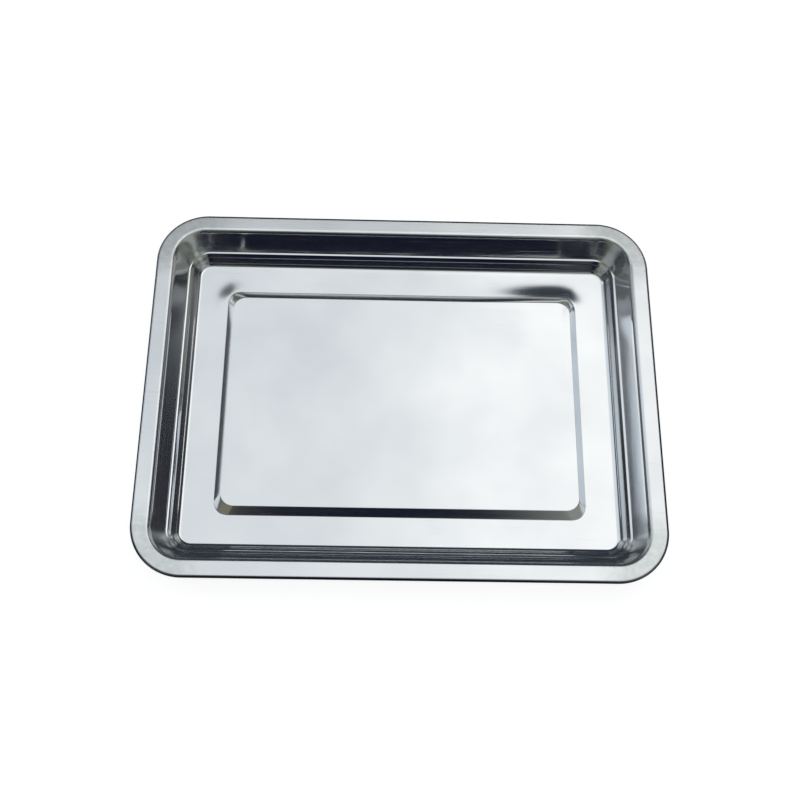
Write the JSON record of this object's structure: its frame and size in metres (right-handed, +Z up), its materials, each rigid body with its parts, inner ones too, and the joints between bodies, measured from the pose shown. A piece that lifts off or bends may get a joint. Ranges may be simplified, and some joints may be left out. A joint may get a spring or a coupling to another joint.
{
  "type": "serving tray",
  "caption": "Rectangular stainless steel serving tray with a wide flat rolled rim, sloping walls with a stacking ledge, and a raised flat centre panel.",
  "frame": {"origin": "centre of the base, on the plane that the floor band stands on", "axes": "+X along the tray's length, +Y along its width, +Z up out of its mouth"},
  "size_m": [0.36, 0.27, 0.0286],
  "materials": {
    "pan_sheet": "satin rim and floor with a fine straight grain, bright drawn walls and ledge",
    "wire_steel": "plain drawn steel wire, closed inside the rolled edge"
  },
  "bodies": {
    "root": {"tray_pan": "pan_sheet", "rim_wire": "wire_steel"}
  },
  "joints": []
}
